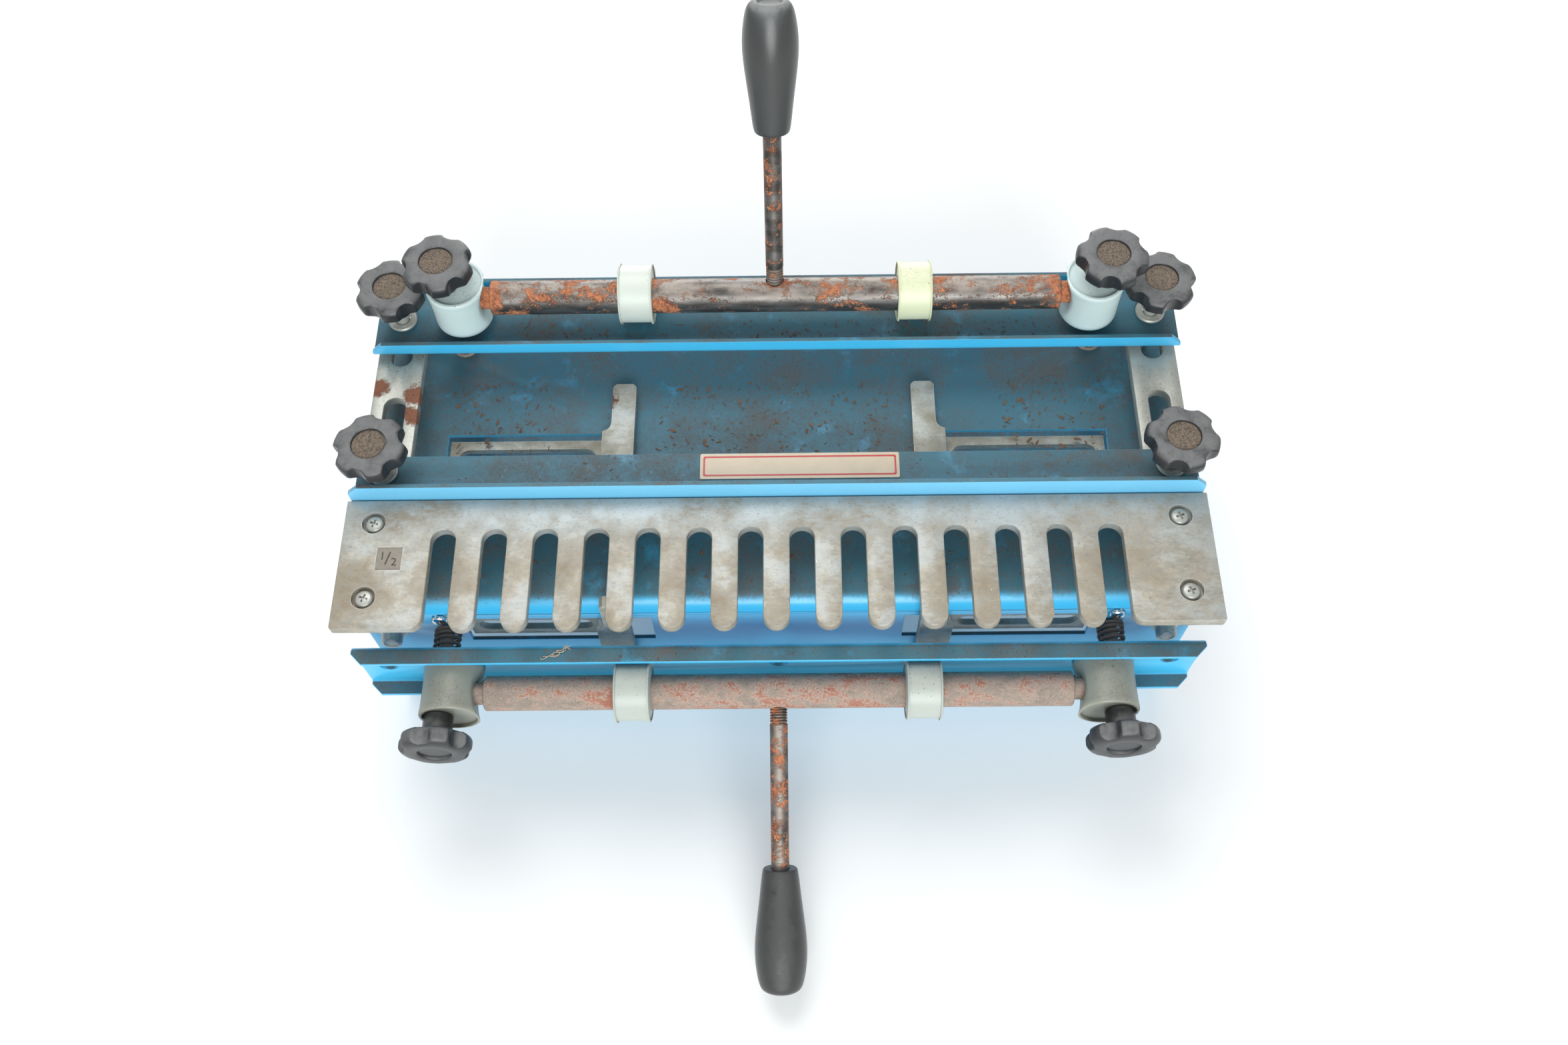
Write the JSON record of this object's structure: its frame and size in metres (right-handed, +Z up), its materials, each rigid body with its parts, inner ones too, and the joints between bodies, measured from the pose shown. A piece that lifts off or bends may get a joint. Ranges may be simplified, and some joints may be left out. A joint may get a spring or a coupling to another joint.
{
  "type": "dovetail jig",
  "caption": "Bench jig for half-blind dovetails: folded steel base, finger template on slotted arms, two cam-lever clamp bars and sliding side stops.",
  "frame": {"origin": "on the ground, on the underside of the front foot 16 mm behind the front face: the front_foot mount", "axes": "+X along the clamp bars to the user's right, +Y away from the user, +Z up"},
  "size_m": [0.3838, 0.3525, 0.2666],
  "materials": {
    "blue_paint": "semi-gloss blue paint, dusty",
    "label": "plain cream foil with a red border",
    "cast_zinc": "dull die-cast zinc with brown stains",
    "plated_steel": "zinc plated, worn",
    "rod_steel": "bare steel with rust",
    "spring_steel": "black, lightly rusted",
    "chrome": "bright",
    "black_plastic": "moulded, faded and dusty",
    "pale_plastic": "moulded, pale grey-green"
  },
  "bodies": {
    "base": {"base": "blue_paint", "label_bar": "blue_paint", "label_plate": "label", "rear_stud_left": "plated_steel", "rear_stud_right": "plated_steel", "front_stud_left": "plated_steel", "front_stud_right": "plated_steel", "corner_stud_left": "plated_steel", "corner_stud_right": "plated_steel", "mid_stud_left": "plated_steel", "mid_stud_right": "plated_steel", "rear_spring_left": "spring_steel", "rear_spring_right": "spring_steel", "front_spring_left": "spring_steel", "front_spring_right": "spring_steel", "mid_washer_left": "plated_steel", "mid_washer_right": "plated_steel", "face_screw_left": "chrome", "face_screw_right": "chrome", "face_nut_left": "plated_steel", "face_nut_right": "plated_steel", "table_screw_left": "plated_steel", "table_screw_right": "plated_steel"},
    "rear_carriage": {"rear_cup_left": "pale_plastic", "rear_cup_right": "pale_plastic"},
    "rear_cam": {"rear_rod": "rod_steel", "rear_lever": "rod_steel", "rear_grip": "black_plastic", "rear_ring_left": "pale_plastic", "rear_ring_right": "pale_plastic"},
    "rear_clamp_bar": {"rear_bar": "blue_paint", "corner_washer_left": "plated_steel", "corner_washer_right": "plated_steel"},
    "rear_knob_left": {"rear_knob_left": "black_plastic"},
    "rear_knob_right": {"rear_knob_right": "black_plastic"},
    "front_carriage": {"front_cup_left": "pale_plastic", "front_cup_right": "pale_plastic"},
    "front_cam": {"front_rod": "rod_steel", "front_lever": "rod_steel", "front_grip": "black_plastic", "front_ring_left": "pale_plastic", "front_ring_right": "pale_plastic"},
    "front_clamp_bar": {"front_bar": "blue_paint"},
    "front_knob_left": {"front_knob_left": "black_plastic"},
    "front_knob_right": {"front_knob_right": "black_plastic"},
    "corner_knob_left": {"corner_knob_left": "black_plastic"},
    "corner_knob_right": {"corner_knob_right": "black_plastic"},
    "mid_knob_left": {"mid_knob_left": "black_plastic"},
    "mid_knob_right": {"mid_knob_right": "black_plastic"},
    "template": {"comb": "cast_zinc", "arm_left": "plated_steel", "arm_right": "plated_steel", "template_screw_front_left": "plated_steel", "template_screw_front_right": "plated_steel", "template_screw_rear_left": "plated_steel", "template_screw_rear_right": "plated_steel"},
    "table_stop_left": {"table_stop_left": "cast_zinc"},
    "table_stop_right": {"table_stop_right": "cast_zinc"},
    "face_stop_left": {"face_stop_left": "cast_zinc"},
    "face_stop_right": {"face_stop_right": "cast_zinc"}
  },
  "joints": [
    {"name": "rear_carriage_slide", "type": "slide", "parent": "base", "child": "rear_carriage", "axis": [0, 0, 1], "range_m": [-0.0007, 0.003], "deforming": ["rear_spring_left", "rear_spring_right"]},
    {"name": "rear_lever_hinge", "type": "hinge", "parent": "rear_carriage", "child": "rear_cam", "pos_m": [0, 0.1215, 0.1415], "axis": [1, 0, 0], "range_deg": [-53, 45]},
    {"name": "rear_bar_slide", "type": "slide", "parent": "rear_carriage", "child": "rear_clamp_bar", "axis": [0, 0, 1], "range_m": [-0.0018, 0.0016], "deforming": ["rear_spring_left", "rear_spring_right"]},
    {"name": "rear_knob_left_turn", "type": "hinge", "parent": "rear_carriage", "child": "rear_knob_left", "pos_m": [-0.1505, 0.1215, 0.155], "axis": [0, 0, 1], "continuous": true},
    {"name": "rear_knob_right_turn", "type": "hinge", "parent": "rear_carriage", "child": "rear_knob_right", "pos_m": [0.1505, 0.1215, 0.155], "axis": [0, 0, 1], "continuous": true},
    {"name": "front_carriage_slide", "type": "slide", "parent": "base", "child": "front_carriage", "axis": [0, -1, 0], "range_m": [-0.0018, 0.004], "deforming": ["front_spring_left", "front_spring_right"]},
    {"name": "front_lever_hinge", "type": "hinge", "parent": "front_carriage", "child": "front_cam", "pos_m": [0, -0.0479, 0.077], "axis": [1, 0, 0], "range_deg": [-100, 0]},
    {"name": "front_bar_slide", "type": "slide", "parent": "front_carriage", "child": "front_clamp_bar", "axis": [0, -1, 0], "range_m": [-0.0064, 0.0005], "deforming": ["front_spring_left", "front_spring_right"]},
    {"name": "front_knob_left_turn", "type": "hinge", "parent": "front_carriage", "child": "front_knob_left", "pos_m": [-0.1505, -0.062, 0.077], "axis": [0, -1, 0], "continuous": true},
    {"name": "front_knob_right_turn", "type": "hinge", "parent": "front_carriage", "child": "front_knob_right", "pos_m": [0.1505, -0.062, 0.077], "axis": [0, -1, 0], "continuous": true},
    {"name": "corner_knob_left_turn", "type": "hinge", "parent": "base", "child": "corner_knob_left", "pos_m": [-0.1757, 0.1215, 0.145], "axis": [0, 0, 1], "continuous": true},
    {"name": "corner_knob_right_turn", "type": "hinge", "parent": "base", "child": "corner_knob_right", "pos_m": [0.1757, 0.1215, 0.145], "axis": [0, 0, 1], "continuous": true},
    {"name": "mid_knob_left_turn", "type": "hinge", "parent": "base", "child": "mid_knob_left", "pos_m": [-0.1757, 0.0403, 0.14], "axis": [0, 0, 1], "continuous": true},
    {"name": "mid_knob_right_turn", "type": "hinge", "parent": "base", "child": "mid_knob_right", "pos_m": [0.1757, 0.0403, 0.14], "axis": [0, 0, 1], "continuous": true},
    {"name": "template_slide", "type": "slide", "parent": "base", "child": "template", "axis": [0, 1, 0], "range_m": [-0.011, 0]},
    {"name": "table_stop_left_slide", "type": "slide", "parent": "base", "child": "table_stop_left", "axis": [1, 0, 0], "range_m": [-0.018, 0.007]},
    {"name": "table_stop_right_slide", "type": "slide", "parent": "base", "child": "table_stop_right", "axis": [1, 0, 0], "range_m": [-0.004, 0.018]},
    {"name": "face_stop_left_slide", "type": "slide", "parent": "base", "child": "face_stop_left", "axis": [1, 0, 0], "range_m": [-0.0035, 0.009]},
    {"name": "face_stop_right_slide", "type": "slide", "parent": "base", "child": "face_stop_right", "axis": [1, 0, 0], "range_m": [-0.006, 0.0035]}
  ],
  "couplings": [
    {"joint": "rear_bar_slide", "follows": "rear_lever_hinge", "m_per_rad": 0.00189},
    {"joint": "front_bar_slide", "follows": "front_lever_hinge", "m_per_rad": 0.00361}
  ]
}
